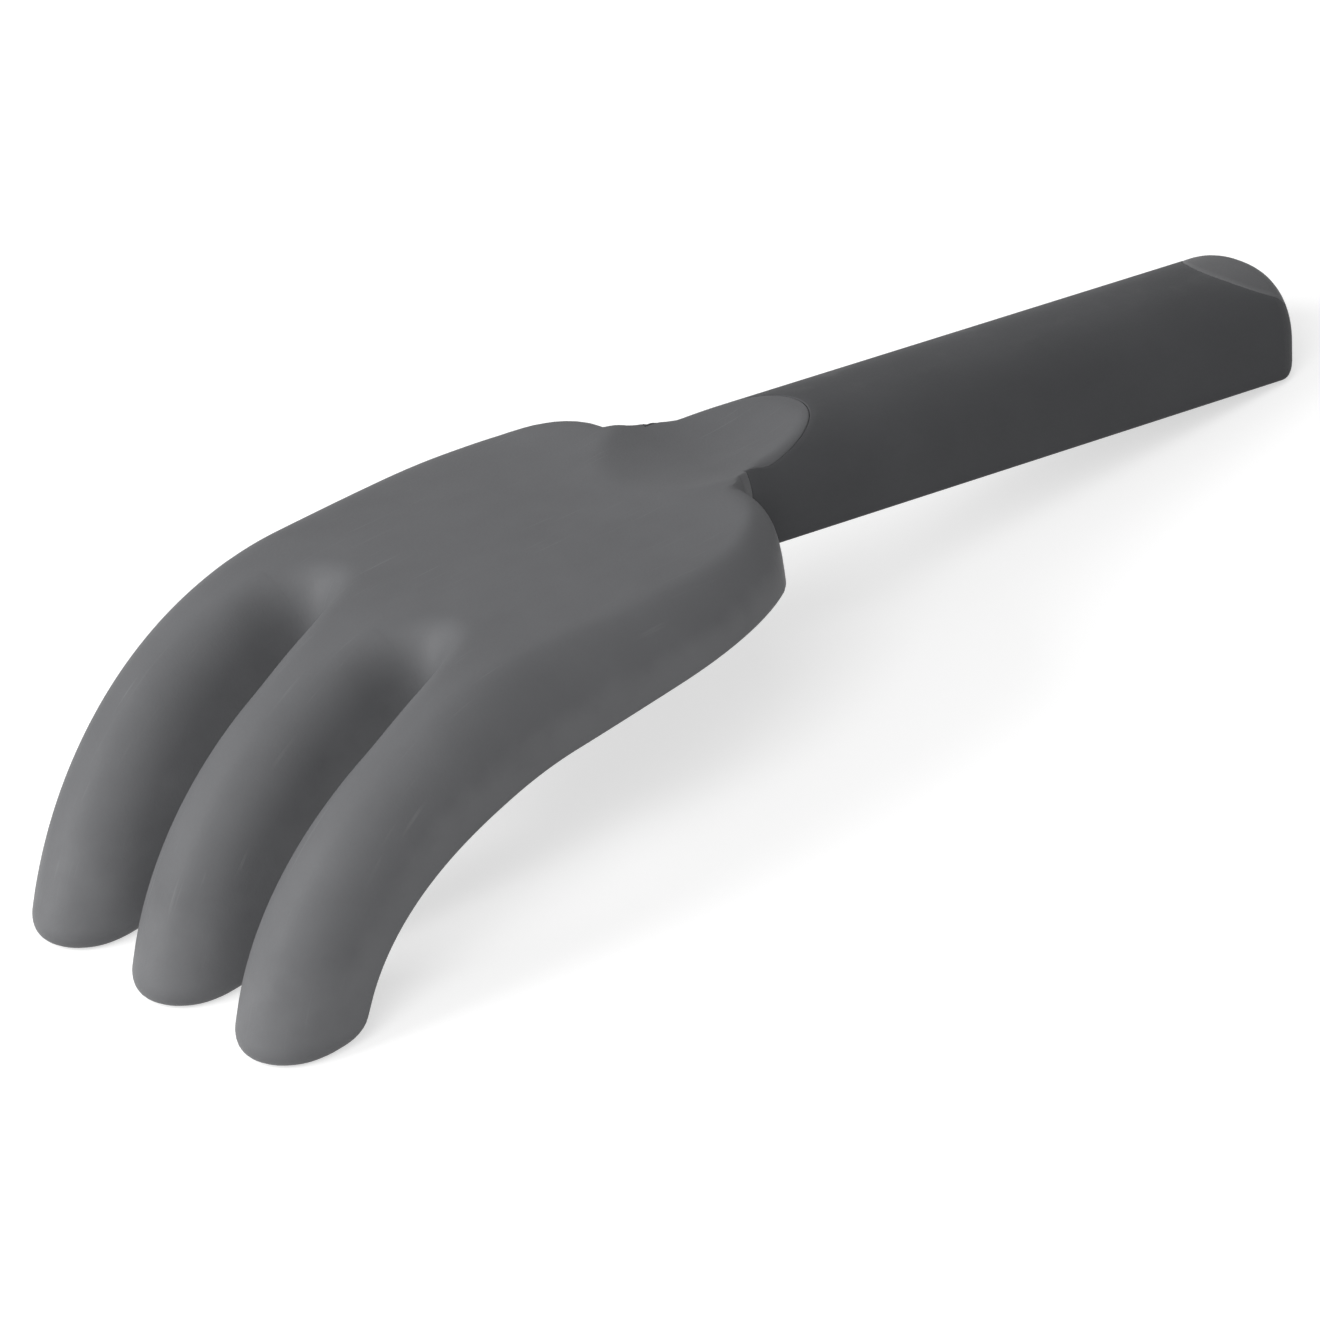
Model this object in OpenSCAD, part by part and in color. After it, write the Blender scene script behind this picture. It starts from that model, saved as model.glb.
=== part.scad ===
// Hand rake for a sandpit: a moulded head with three tines, a grip sleeve over its tang and an end plug.
// Lengths are in millimetres. The rake lies on a floor, on its three tips and the end of its handle.
// Its pieces are drawn with the handle's crest along X and the neck at zero, and are then tilted to lie so.

/* [Handle] */
// Length of the handle from the neck to the middle of its end
handle_len = 116.8; // [100:0.2:135]
// Width of the handle
handle_w = 30.6; // [28:0.2:38]
// Height of the handle from its crest to its flat underside
handle_h = 16; // [14.6:0.2:19]
// Height of the rounded crown at the top of the handle's section
crown_h = 10; // [8.6:0.2:12]
// Power of the crown's curve, where 2 is an ellipse and more is fuller
crown_power = 2.3; // [2:0.1:2.6]
// Slope of the handle below level as the rake lies on a floor
handle_tilt = 12.8; // [11:0.1:15]
// Bow of the handle's end as seen from above
end_bow = 3; // [0.5:0.1:5]
// Radius of the rounded edge of the end
end_edge_r = 2.8; // [1.5:0.1:3.4]

/* [Neck] */
// Length along the crest over which the handle bends into the palm
neck_len = 9; // [7:0.5:20]
// Length of the collar of the head in front of the sleeve
collar_len = 3; // [2:0.5:6]
// Reach of the tongue behind the neck
tongue_len = 23; // [16:1:32]
// Width of the sleeve that is left on each side of the tongue
tongue_side = 3; // [2.8:0.1:5]
// Thickness of the tongue, down into the tang
tongue_t = 10; // [9:0.2:11.6]
// Reach of the thumb dish ahead of the neck
dish_reach = 22; // [14:1:28]
// Depth of the thumb dish
dish_depth = 1.8; // [0.6:0.1:2.2]

/* [Palm] */
// Distance along the crest from the neck to where the bend starts
palm_len = 56.4; // [50:0.2:62]
// Angle between the palm and the handle
palm_angle = 11.5; // [7:0.1:15]
// Length of the rounded shoulders
shoulder_len = 36.5; // [30:0.5:44]
// Depth of the palm's side walls
palm_depth = 13.9; // [12:0.1:16]

/* [Tines] */
// Radius of the bend along the crest of the tines
bend_r = 65.7; // [60:0.1:75]
// Width of a tine where it leaves the palm
tine_w = 20.8; // [18:0.2:24]
// Width of a tine at its tip
tip_w = 22.2; // [18:0.2:24]
// Distance between the middles of two tines at the palm
tine_pitch = 30.2; // [28:0.2:35]
// Distance between the middles of two tips
tip_pitch = 28; // [27:0.1:34]
// Depth of a tine at the middle of the bend
tine_depth = 16; // [14:0.1:20]
// Depth of a tine at its tip
tip_depth = 13.9; // [12:0.1:18]
// Distance along the crest from the neck to the rounded end of a slot
slot_start = 64; // [62:0.5:70]
// Radius of the rounded edge of a tip
tip_edge_r = 4.2; // [2:0.1:4.5]

/* [Shell] */
// Wall of the head, which is open underneath
wall = 3; // [2:0.1:3.4]
// Thickness of the wall behind the palm
back_wall = 5; // [3:0.5:8]
// Height of the solid foot of a tip above the floor
foot_h = 7; // [5:0.5:12]

/* [Grip sleeve] */
// Wall of the sleeve
sleeve_wall = 2.4; // [1.8:0.1:3]
// Clearance between the sleeve and what it sits on
sleeve_gap = 0.2; // [0.1:0.05:0.4]

/* [End plug] */
// Thickness of the plug at the sides of the handle
plug_t = 3.2; // [2:0.1:6]
// Reach of the plug's tongue from the handle's end
plug_reach = 11; // [8:0.5:16]
// Diameter of the spigot that is pressed into the tang
spigot_d = 6; // [4:0.1:7]
// Length of the spigot
spigot_len = 16; // [10:1:24]
// Clearance round the spigot and past its end
spigot_gap = 0.1; // [0.05:0.05:0.3]

/* [Hidden] */

// Share of a wall's depth that is rounded over at its top
edge_h_share = 0.91;
// Share of a solid stretch's width that its underside takes up
underside_share = 0.7;
// Share of the crown's height that is cut through for a tongue
notch_share = 0.8;
// Angle from the tongue's side to the blunt end of its rounded outline
tongue_turn = 80;
// How far a cut runs past what it cuts
overrun = 1;
// Facets of the handle's crown
crown_steps = 24;
// Faces across one of the head's three strips
strip_steps = 10;
// Rows of the head along its crest
tongue_rows = 4;
shoulder_rows = 10;
palm_rows = 3;
slot_edge_rows = 6;
slot_end_rows = 4;
tine_rows = 11;
edge_rows = 4;

per_radian = 180 / PI;
half_w = handle_w / 2;
tongue_half = half_w - tongue_side;
slot_r = (tine_pitch - tine_w) / 2;
neck_r = neck_len * per_radian / palm_angle;
tang_inset = sleeve_wall + sleeve_gap;
sleeve_start = collar_len + sleeve_gap;
plug_seat = handle_len - end_bow - plug_t;
spigot_z = -handle_h / 2;

function part_of_one(t) = max(0, min(1, t));
function ease(t) = let (u = part_of_one(t)) u * u * (3 - 2 * u);
function blend(from, to, t) = from + (to - from) * t;

// Crest line of the head: the handle's own crest, the neck's arc, the flat palm and the bend of the tines
function crest_slope(s) = palm_angle * part_of_one(s / neck_len) + max(0, s - palm_len) / bend_r * per_radian;
function crest_x(s) =
    let (neck = palm_angle * part_of_one(s / neck_len), flat = max(0, min(s, palm_len) - neck_len))
    -min(s, 0) - neck_r * sin(neck) - flat * cos(palm_angle)
    - (s > palm_len ? bend_r * (sin(crest_slope(s)) - sin(palm_angle)) : 0);
function crest_z(s) =
    let (neck = palm_angle * part_of_one(s / neck_len), flat = max(0, min(s, palm_len) - neck_len))
    -neck_r * (1 - cos(neck)) - flat * sin(palm_angle)
    - (s > palm_len ? bend_r * (cos(palm_angle) - cos(crest_slope(s))) : 0);
function below_crest(s, v, depth) =
    [crest_x(s) + depth * sin(crest_slope(s)), v, crest_z(s) - depth * cos(crest_slope(s))];

// The bend's centre and the floor, whose level is measured square to it from the crest at the neck
bend_x = crest_x(palm_len) + bend_r * sin(palm_angle);
bend_z = crest_z(palm_len) - bend_r * cos(palm_angle);
bend_level = bend_z * cos(handle_tilt) - bend_x * sin(handle_tilt);
floor_level = -(handle_len - end_edge_r) * sin(handle_tilt)
    - (handle_h - end_edge_r) * cos(handle_tilt) - end_edge_r;
function angle_at_height(depth, height) =
    handle_tilt + acos((floor_level + height - bend_level) / (bend_r - depth));
function round_the_bend(angle, v, depth) =
    [bend_x - (bend_r - depth) * sin(angle), v, bend_z + (bend_r - depth) * cos(angle)];
tip_s = palm_len + bend_r * (angle_at_height(0, 0) - palm_angle) / per_radian;
mid_s = tip_s / 2;
fork_s = slot_start + slot_r;

// Sizes of the head along its crest
function along_tines(s) = ease((s - fork_s) / (tip_s - fork_s));
function pitch(s) = blend(tine_pitch, tip_pitch, along_tines(s));
function half_tine(s) = blend(tine_w, tip_w, along_tines(s)) / 2;
function half_slot(s) = pitch(s) / 2 - half_tine(s);
function depth(s) =
    handle_h + (palm_depth - handle_h) * ease(s / neck_len)
    + (tine_depth - palm_depth) * ease((s - neck_len) / (mid_s - neck_len))
    + (tip_depth - tine_depth) * ease((s - mid_s) / (tip_s - mid_s));
function edge_r(s) = blend(half_w, half_tine(s), ease(s / neck_len));
function edge_h(s) = blend(crown_h, edge_h_share * depth(s), ease(s / neck_len));
function shoulder(s, inset) = sqrt(1 - pow(part_of_one((shoulder_len - s) / (shoulder_len - inset)), 2));
function half_width(s, inset) = half_w - inset + (pitch(s) + half_tine(s) - half_w) * shoulder(s, inset);
function seam(s) = blend(tongue_half, pitch(s) / 2, ease(s / slot_start));

// Distance of a place on the head from the nearest edge of its outline
function shoulder_distance(s, v) =
    let (
        wide = pitch(s) + half_tine(s) - half_w,
        ahead = part_of_one(1 - s / shoulder_len),
        aside = (v - half_w) / wide,
        reach = norm([ahead, aside])
    )
    reach == 0 ? wide : (1 - reach) * reach / norm([ahead / shoulder_len, aside / wide]);
function neck_distance(s, v) = norm([max(s, 0), half_w - v]);
function slot_distance(s, v) = norm([max(0, fork_s - s), v - pitch(s) / 2]) - half_slot(s);
function edge_distance(s, v) =
    max(0, min(v < half_w ? neck_distance(s, v) : shoulder_distance(s, v), slot_distance(s, v)));

// Drop of the rounded top below the crest, and of the thumb dish
function edge_power(s) = blend(crown_power, 2, ease(s / neck_len));
function rounded_drop(distance, r, h, power) =
    h * (1 - pow(1 - pow(part_of_one(1 - distance / r), power), 1 / power));
dish_middle = (dish_reach - tongue_len) / 2;
dish_half_len = (dish_reach + tongue_len) / 2;
function dish_drop(s, v) =
    dish_depth * pow(max(0, 1 - pow((s - dish_middle) / dish_half_len, 2) - pow(v / tongue_half, 2)), 2);
function skin_drop(s, v) =
    rounded_drop(edge_distance(s, abs(v)), edge_r(s), edge_h(s), edge_power(s)) + dish_drop(s, v);
function lining_drop(s, v) =
    wall + dish_drop(s, v)
    + rounded_drop(edge_distance(s, abs(v)) - wall, edge_r(s) - wall, depth(s) - wall, edge_power(s));

// Rows of the head: a place along the crest and, past the fork, a share of the way to the foot or a height
SHEET = 0;
TINE = 1;
FOOT = 2;
tongue_span = tongue_len - sleeve_start;
head_rows = concat(
    [for (i = [0:tongue_rows]) [-sleeve_start - tongue_span * sin(tongue_turn * (1 - i / tongue_rows)), SHEET, 0]],
    [[-collar_len, SHEET, 0]],
    [for (i = [0:shoulder_rows]) [shoulder_len * (1 - cos(90 * i / shoulder_rows)), SHEET, 0]],
    [for (i = [1:palm_rows]) [blend(shoulder_len, slot_start - tine_w / 2, i / (palm_rows + 1)), SHEET, 0]],
    [for (i = [0:slot_edge_rows]) [slot_start - tine_w / 2 * (1 - sin(90 * i / slot_edge_rows)), SHEET, 0]],
    [for (i = [1:slot_end_rows]) [slot_start + slot_r * (1 - cos(90 * i / slot_end_rows)), SHEET, 0]],
    [for (i = [1:tine_rows]) [blend(fork_s, tip_s, i / tine_rows), TINE, i / tine_rows]],
    [for (i = [0:edge_rows]) [tip_s, FOOT, tip_edge_r * (1 - sin(90 * i / edge_rows))]]
);
collar_row = tongue_rows + 1;
apex_row = collar_row + 1 + shoulder_rows + palm_rows + 1 + slot_edge_rows;
last_row = len(head_rows) - 1;

function on_tongue(row) = row < collar_row;
function is_foot(row) = head_rows[row][1] == FOOT;
function is_hollow(row) = !is_foot(row) && head_rows[row][0] > back_wall;
function foot_cut(row) = is_foot(row)
    ? tip_edge_r - sqrt(pow(tip_edge_r, 2) - pow(tip_edge_r - head_rows[row][2], 2)) : 0;
function tongue_width(s) = tongue_half * sqrt(1 - pow(part_of_one((-s - sleeve_start) / tongue_span), 2));

// Places a point of a row on its own arc, so that the rows of a tine come to lie level at the foot
fork_angle = crest_slope(fork_s);
function row_point(row, s, v, down) =
    let (kind = head_rows[row][1], way = head_rows[row][2])
    kind == SHEET ? below_crest(s, v, down)
    : kind == TINE ? round_the_bend(blend(fork_angle, angle_at_height(down, foot_h), way), v, down)
    : round_the_bend(angle_at_height(down, way), v, down);

// Left and right edges of a strip of the head, where the middle strip is 1
function gap_at(row, s, inset) =
    row < apex_row ? 0 : sqrt(max(0, pow(half_slot(s) + inset, 2) - pow(max(0, fork_s - s), 2)));
function strip_edges(row, strip, inset) =
    let (
        s = head_rows[row][0],
        cut = foot_cut(row),
        slot_s = row < apex_row ? s : s - slot_shift(row, inset),
        middle = row < apex_row ? seam(s) : pitch(s) / 2,
        gap = gap_at(row, slot_s, inset) + cut,
        near = on_tongue(row) ? tongue_width(s) : middle - gap,
        far = [middle + gap, half_width(s, inset) - cut]
    )
    strip == 1 ? [-near, near] : strip == 2 ? far : [-far[1], -far[0]];

// How far the lining of a row runs back from the slot, so that a wall is left round the slot's end
function slot_shift(row, inset) =
    let (s = head_rows[row][0])
    row < apex_row ? inset * part_of_one(1 - (slot_start - s) / (tine_w / 2))
    : inset * max(0, fork_s - s) / slot_r;
function slot_side(strip, t) = strip == 1 ? abs(2 * t - 1) : strip == 2 ? 1 - t : t;

function across(edges, t) = (edges[0] + edges[1]) / 2 - (edges[1] - edges[0]) / 2 * cos(180 * t);

function skin_point(row, strip, t) =
    let (
        s = head_rows[row][0],
        v = across(strip_edges(row, strip, 0), t),
        cut = foot_cut(row),
        down = is_foot(row) ? cut + (edge_h(s) - cut) * (1 - sin(180 * t)) : skin_drop(s, v)
    )
    row_point(row, s, v, down);

function underside(row) = on_tongue(row) ? tongue_t : depth(head_rows[row][0]) - foot_cut(row);

function lining_point(row, strip, t) =
    let (s = head_rows[row][0])
    is_hollow(row) ? hollow_point(row, strip, t)
    : row_point(row, s, solid_side(row, strip, t), underside(row));
function solid_side(row, strip, t) =
    let (edges = strip_edges(row, strip, 0))
    on_tongue(row) ? underside_share * across(edges, t)
    : is_foot(row) ? across([edges[0] + wall, edges[1] - wall], t)
    : strip == 1 ? across(edges, t)
    : strip == 2 ? across([edges[0], blend(edges[0], edges[1], underside_share)], t)
    : across([blend(edges[1], edges[0], underside_share), edges[1]], t);
function hollow_point(row, strip, t) =
    let (
        s = head_rows[row][0] - slot_shift(row, wall) * slot_side(strip, t),
        v = across(strip_edges(row, strip, wall), t),
        down = min(depth(s), lining_drop(s, v)),
        on_rim = (t == 0 && left_is_free(row, strip)) || (t == 1 && right_is_free(row, strip))
    )
    row_point(row, s, v, on_rim ? depth(s) : down);

function left_is_free(row, strip) = strip == 0 || row >= apex_row || on_tongue(row);
function right_is_free(row, strip) = strip == 2 || row >= apex_row || on_tongue(row);
function rim_point(row, strip, side) =
    let (edges = strip_edges(row, strip, 0))
    row_point(row, head_rows[row][0], edges[side], underside(row));

// Points and faces of the head, as a skin, a lining and the rim that joins them
columns = strip_steps + 1;
row_count = last_row + 1;
strips = [0:2];
sides = [0:1];
head_points = concat(
    [for (strip = strips, row = [0:last_row], k = [0:strip_steps]) skin_point(row, strip, k / strip_steps)],
    [for (strip = strips, row = [0:last_row], k = [0:strip_steps]) lining_point(row, strip, k / strip_steps)],
    [for (strip = strips, side = sides, row = [0:last_row]) rim_point(row, strip, side)]
);
SKIN = 0;
LINING = 1;
rim_base = 2 * 3 * row_count * columns;

function is_joined(row) = row >= collar_row && row <= apex_row;
function place(layer, strip, row, k) =
    k == 0 && strip > 0 && is_joined(row) ? place(layer, strip - 1, row, strip_steps)
    : ((layer * 3 + strip) * row_count + row) * columns + k;
function rim_place(strip, side, row) =
    let (inner_side = (strip == 0 && side == 1) || strip == 1 || (strip == 2 && side == 0))
    inner_side && row == collar_row ? place(LINING, strip, row, side * strip_steps)
    : side == 0 && strip > 0 && row == apex_row ? rim_place(strip - 1, 1, row)
    : rim_base + (strip * 2 + side) * row_count + row;

function first_row(strip) = strip == 1 ? 0 : collar_row;
function edge_is_free(strip, side, row) =
    (strip == 0 && side == 0) || (strip == 2 && side == 1) || row >= apex_row || row < collar_row;

function quad(a, b, c, d) = [for (f = [[a, b, c], [a, c, d]]) if (f[0] != f[1] && f[1] != f[2] && f[2] != f[0]) f];

function sheet_faces(strip, row, k) = concat(
    quad(place(SKIN, strip, row, k), place(SKIN, strip, row + 1, k),
         place(SKIN, strip, row + 1, k + 1), place(SKIN, strip, row, k + 1)),
    quad(place(LINING, strip, row, k), place(LINING, strip, row, k + 1),
         place(LINING, strip, row + 1, k + 1), place(LINING, strip, row + 1, k))
);
function side_faces(strip, side, row) =
    let (
        k = side * strip_steps,
        from = side == 0 ? row + 1 : row,
        to = side == 0 ? row : row + 1
    )
    concat(
        quad(place(SKIN, strip, from, k), place(SKIN, strip, to, k),
             rim_place(strip, side, to), rim_place(strip, side, from)),
        quad(rim_place(strip, side, from), rim_place(strip, side, to),
             place(LINING, strip, to, k), place(LINING, strip, from, k))
    );
function end_faces(strip, row, forward) = concat(
    [for (k = [0:strip_steps - 1])
        let (from = forward ? k + 1 : k, to = forward ? k : k + 1)
        each quad(place(SKIN, strip, row, from), place(SKIN, strip, row, to),
                  place(LINING, strip, row, to), place(LINING, strip, row, from))],
    [for (side = sides)
        let (k = side * strip_steps, skin_first = (side == 0) != forward)
        each quad(place(skin_first ? SKIN : LINING, strip, row, k), place(skin_first ? LINING : SKIN, strip, row, k),
                  rim_place(strip, side, row), rim_place(strip, side, row))]
);
head_faces = [
    for (strip = strips) each concat(
        [for (row = [first_row(strip):last_row - 1], k = [0:strip_steps - 1]) each sheet_faces(strip, row, k)],
        [for (row = [first_row(strip):last_row - 1], side = sides)
            if (edge_is_free(strip, side, row)) each side_faces(strip, side, row)],
        end_faces(strip, first_row(strip), false),
        end_faces(strip, last_row, true)
    )
];

// Section of the handle, drawn in from its outside by an inset, as points over the crown and along the underside
function power_of(t, power) = sign(t) * pow(abs(t), 2 / power);
function crown_side(inset, i) = (half_w - inset) * power_of(cos(180 * i / crown_steps), crown_power);
function crown_z(inset, i) = -inset - (crown_h - inset) * (1 - power_of(sin(180 * i / crown_steps), crown_power));
function handle_outline(inset) = concat(
    [for (i = [0:crown_steps]) [crown_side(inset, i), crown_z(inset, i)]],
    [for (i = [0:crown_steps]) [crown_side(inset, crown_steps - i), inset - handle_h]]
);

// A tongue as it is seen from above: half an ellipse
function half_ellipse(reach, half) =
    [for (i = [0:crown_steps]) [reach * sin(180 * i / crown_steps), half * cos(180 * i / crown_steps)]];

module handle_bar(inset, start, end) {
    translate([start, 0, 0]) rotate([90, 0, 90]) linear_extrude(end - start) polygon(handle_outline(inset));
}

// A tongue's shape, cut down through the crown: it starts a little past its root and points to the end or the neck
module tongue_block(root, reach, half, to_neck) {
    translate([root, 0, -crown_h * notch_share])
        mirror([to_neck ? 1 : 0, 0, 0])
        translate([-overrun, 0, 0])
        linear_extrude(handle_h) polygon(half_ellipse(reach + overrun, half));
}

module spigot(r, length) {
    translate([plug_seat + overrun, 0, spigot_z]) rotate([0, -90, 0]) cylinder(r = r, h = length + overrun, $fn = 48);
}

// The grip's outer shape: the handle's section, drawn in round an end that is bowed as seen from above
module grip_solid(start) {
    turns = [for (i = [0:edge_rows]) 90 * i / edge_rows];
    ring_x = concat([start], [for (a = turns) handle_len - end_edge_r * (1 - sin(a))]);
    ring_inset = concat([0], [for (a = turns) end_edge_r * (1 - cos(a))]);
    ring_bow = concat([0], [for (a = turns) end_bow]);
    count = len(handle_outline(0));
    last = len(ring_x) - 1;
    points = [for (r = [0:last], p = handle_outline(ring_inset[r]))
        [ring_x[r] - ring_bow[r] * pow(p[0] / half_w, 2), p[0], p[1]]];
    around = [for (r = [0:last - 1], i = [0:count - 1]) let (j = (i + 1) % count)
        each quad(r * count + i, (r + 1) * count + i, (r + 1) * count + j, r * count + j)];
    ends = [for (i = [0:crown_steps - 1]) let (under = count - 1 - i, base = last * count) each concat(
        quad(i, i + 1, under - 1, under),
        quad(base + i + 1, base + i, base + under, base + under - 1)
    )];
    polyhedron(points, concat(around, ends));
}

// Turns the handle down to the floor, and puts the middle of the rake over the origin
front_x = min([for (row = [last_row - edge_rows:last_row]) let (p = skin_point(row, 1, 1 / 2))
    p[0] * cos(handle_tilt) + p[2] * sin(handle_tilt)]);
rear_x = (handle_len - end_edge_r) * cos(handle_tilt) - end_edge_r * sin(handle_tilt) + end_edge_r;
module on_the_floor() {
    translate([-(front_x + rear_x) / 2, 0, -floor_level]) rotate([0, handle_tilt, 0]) children();
}

module rake_head() {
    color([0.40, 0.40, 0.41]) on_the_floor() difference() {
        union() {
            polyhedron(head_points, head_faces);
            handle_bar(tang_inset, -back_wall / 2, plug_seat - sleeve_gap);
        }
        spigot(spigot_d / 2 + spigot_gap, spigot_len + spigot_gap);
    }
}

module grip_sleeve() {
    color([0.27, 0.27, 0.29]) on_the_floor() difference() {
        grip_solid(sleeve_start);
        handle_bar(sleeve_wall, sleeve_start - overrun, handle_len + overrun);
        tongue_block(sleeve_start, tongue_span + sleeve_gap, tongue_half + sleeve_gap, false);
        tongue_block(handle_len, plug_reach + sleeve_gap, tongue_half + sleeve_gap, true);
    }
}

module end_plug() {
    color([0.36, 0.36, 0.37]) on_the_floor() union() {
        difference() {
            intersection() {
                grip_solid(handle_len - plug_reach - overrun);
                union() {
                    handle_bar(tang_inset, plug_seat, handle_len + overrun);
                    tongue_block(handle_len, plug_reach, tongue_half, true);
                }
            }
            handle_bar(sleeve_wall, handle_len - plug_reach - overrun, plug_seat);
        }
        spigot(spigot_d / 2, spigot_len);
    }
}

rake_head();
grip_sleeve();
end_plug();
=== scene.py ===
# %% [markdown]
# # A hand rake for the sandpit
# The rake is made of three mouldings: a grey head with three thick tines, a soft sleeve pushed
# over the head's tang, and a plug that closes the end of the handle. The sleeve is coloured darker than
# the head, partly as painted shade on the handle, whose crown slopes away from the lamps; the plug's
# paler tone is partly a painted highlight on the handle's rounded end. Their solids are loaded first and
# fix the place and the size of everything below. The solids are cut into flat facets and have a plainer
# palm and neck. So each piece is drawn again here as a smooth mesh, from measures that follow the
# photograph closely, and then gets its finish.

# %% Frame and tools
import math
from collections import namedtuple
import bmesh
import bpy
from mathutils import Matrix, Vector


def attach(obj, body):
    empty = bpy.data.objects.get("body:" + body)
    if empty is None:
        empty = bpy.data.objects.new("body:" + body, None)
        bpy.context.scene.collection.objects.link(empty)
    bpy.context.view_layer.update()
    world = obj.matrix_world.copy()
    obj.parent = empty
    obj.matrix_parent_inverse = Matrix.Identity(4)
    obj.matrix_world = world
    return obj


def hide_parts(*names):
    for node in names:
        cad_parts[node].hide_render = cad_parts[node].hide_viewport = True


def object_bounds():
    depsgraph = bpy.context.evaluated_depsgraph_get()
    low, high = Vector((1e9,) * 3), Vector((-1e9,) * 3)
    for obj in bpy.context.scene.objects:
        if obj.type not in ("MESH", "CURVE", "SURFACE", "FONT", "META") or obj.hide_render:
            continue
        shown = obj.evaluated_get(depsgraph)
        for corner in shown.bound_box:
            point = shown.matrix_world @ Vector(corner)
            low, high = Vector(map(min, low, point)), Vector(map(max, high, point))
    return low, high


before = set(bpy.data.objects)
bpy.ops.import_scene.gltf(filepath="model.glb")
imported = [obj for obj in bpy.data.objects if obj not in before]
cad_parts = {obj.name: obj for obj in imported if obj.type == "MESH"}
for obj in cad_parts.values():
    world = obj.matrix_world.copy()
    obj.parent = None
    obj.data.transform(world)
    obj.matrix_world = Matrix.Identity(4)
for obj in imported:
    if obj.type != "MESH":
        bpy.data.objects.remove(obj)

cad_box = [list(corner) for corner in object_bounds()]
print("solids", sorted(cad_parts), "box", cad_box)

# %% [markdown]
# ## Measures
# A maker would take these off the rake with a calliper. The handle's crest is the ruler: a place on the
# rake is a distance along that crest from the neck, a distance to the side and a depth below the crest.

# %% Measures of the handle
MM = 0.001
handle_len = 116.8 * MM
half_w = 15.3 * MM
handle_h = 16 * MM
crown_h = 10 * MM
crown_power = 2.3
handle_tilt = math.radians(12.8)
end_bow = 3 * MM
end_edge_r = 2.8 * MM
collar_len = 2 * MM
seam_gap = 0.05 * MM
sleeve_start = collar_len + seam_gap
sleeve_wall = 2.4 * MM
tongue_len = 23 * MM
tongue_half = 12.8 * MM
tongue_span = tongue_len - sleeve_start
plug_reach = 10 * MM
plug_half = 12.3 * MM

# %% Measures of the head
neck_len = 9 * MM
palm_angle = math.radians(11.5)
palm_len = 56.4 * MM
palm_depth = 13.9 * MM
shoulder_len = 36.5 * MM
shoulder_power = 2.2
rim_reach = 14 * MM
rim_half = 16 * MM
scoop_sink = 3.4 * MM
scoop_fillet = 0.5 * MM
rim_fillet = 2 * MM
dish_depth = 2.4 * MM
dish_middle = -3.5 * MM
rim_share = 0.04
palm_crown = 1 * MM
palm_edge_r = 9 * MM
rear_edge_r = 5 * MM
neck_fillet = 8 * MM
web_len = 8 * MM
slot_edge_r = 6.5 * MM
tine_grow = 22 * MM
bend_r = 65.7 * MM
tine_w = 20.8 * MM
tip_w = 22.2 * MM
tine_pitch = 30.2 * MM
tip_pitch = 28 * MM
tine_depth = 16 * MM
tip_depth = 13.9 * MM
slot_start = 65.5 * MM
slot_end_len = 7.5 * MM
tip_edge_r = 4.2 * MM
wall = 3 * MM
back_wall = 5 * MM
foot_h = 7 * MM
edge_h_share = 0.91
round_power = 2
slot_r = (tine_pitch - tine_w) / 2
fork_s = slot_start + slot_end_len
quarter = math.pi / 2
print("slot width in mm", 2 * slot_r / MM)

# %% [markdown]
# ## The crest line
# Seen from the side, the rake's top is the straight handle, a short arc at the neck, a flat palm and
# one long bend down to the floor. A curve object could carry that, but plain functions of the distance
# along it give the slope and the place at once, and every surface below hangs from them.

# %% Crest line
def part_of_one(t):
    return max(0.0, min(1.0, t))


def ease(t):
    u = part_of_one(t)
    return u * u * (3 - 2 * u)


def mixed(start, end, t):
    return start + (end - start) * t


def crest_slope(s):
    return palm_angle * part_of_one(s / neck_len) + max(0, s - palm_len) / bend_r


def crest(s):
    neck = palm_angle * part_of_one(s / neck_len)
    neck_r = neck_len / palm_angle
    flat = max(0, min(s, palm_len) - neck_len)
    x = -min(s, 0) - neck_r * math.sin(neck) - flat * math.cos(palm_angle)
    z = -neck_r * (1 - math.cos(neck)) - flat * math.sin(palm_angle)
    if s > palm_len:
        x -= bend_r * (math.sin(crest_slope(s)) - math.sin(palm_angle))
        z -= bend_r * (math.cos(palm_angle) - math.cos(crest_slope(s)))
    return x, z


def below_crest(s, v, down):
    x, z = crest(s)
    return Vector((x + down * math.sin(crest_slope(s)), v, z - down * math.cos(crest_slope(s))))


print("palm's slope to the handle in degrees", round(math.degrees(crest_slope(palm_len)), 1))

# %% [markdown]
# ## How it lies
# The rake lies on the edge of its handle's end and on its three tips, so the handle slopes down towards
# its end. The floor's level and the centre of the bend tell at which angle a tine meets the floor.

# %% Floor and tips
bend_x = crest(palm_len)[0] + bend_r * math.sin(palm_angle)
bend_z = crest(palm_len)[1] - bend_r * math.cos(palm_angle)
bend_level = bend_z * math.cos(handle_tilt) - bend_x * math.sin(handle_tilt)
floor_level = (
    -(handle_len - end_edge_r) * math.sin(handle_tilt)
    - (handle_h - end_edge_r) * math.cos(handle_tilt)
    - end_edge_r
)


def angle_at_height(down, height):
    return handle_tilt + math.acos((floor_level + height - bend_level) / (bend_r - down))


def round_the_bend(angle, v, down):
    r = bend_r - down
    return Vector((bend_x - r * math.sin(angle), v, bend_z + r * math.cos(angle)))


tip_s = palm_len + bend_r * (angle_at_height(0, 0) - palm_angle)
mid_s = tip_s / 2
rear_x = (handle_len - end_edge_r) * math.cos(handle_tilt) - end_edge_r * math.sin(handle_tilt) + end_edge_r
print("crest length in mm", tip_s / MM)

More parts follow.
